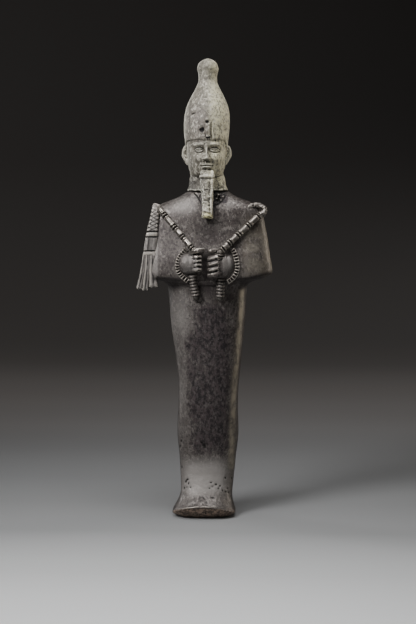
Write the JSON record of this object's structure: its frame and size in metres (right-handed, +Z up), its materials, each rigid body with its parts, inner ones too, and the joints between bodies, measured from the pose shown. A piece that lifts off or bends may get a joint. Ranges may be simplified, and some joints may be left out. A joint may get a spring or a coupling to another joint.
{
  "type": "statuette",
  "caption": "Cast bronze statuette of a standing Osiris wrapped as a mummy, with a tall crown and a long beard, holding a crook and a flail on the chest.",
  "frame": {"origin": "middle of the flat sole, on the surface that the figure stands on", "axes": "+Z up along the figure, -Y the way it faces, +X towards the figure's own left"},
  "size_m": [0.0877, 0.0448, 0.3],
  "materials": {
    "dark_bronze": "cast bronze with a dark brown-grey patina, pitted in the middle of the legs",
    "grey_metal": "cast copper alloy with a rough light grey corroded skin, mottled with yellow-green"
  },
  "bodies": {
    "root": {"body": "dark_bronze", "head": "grey_metal"}
  },
  "joints": []
}
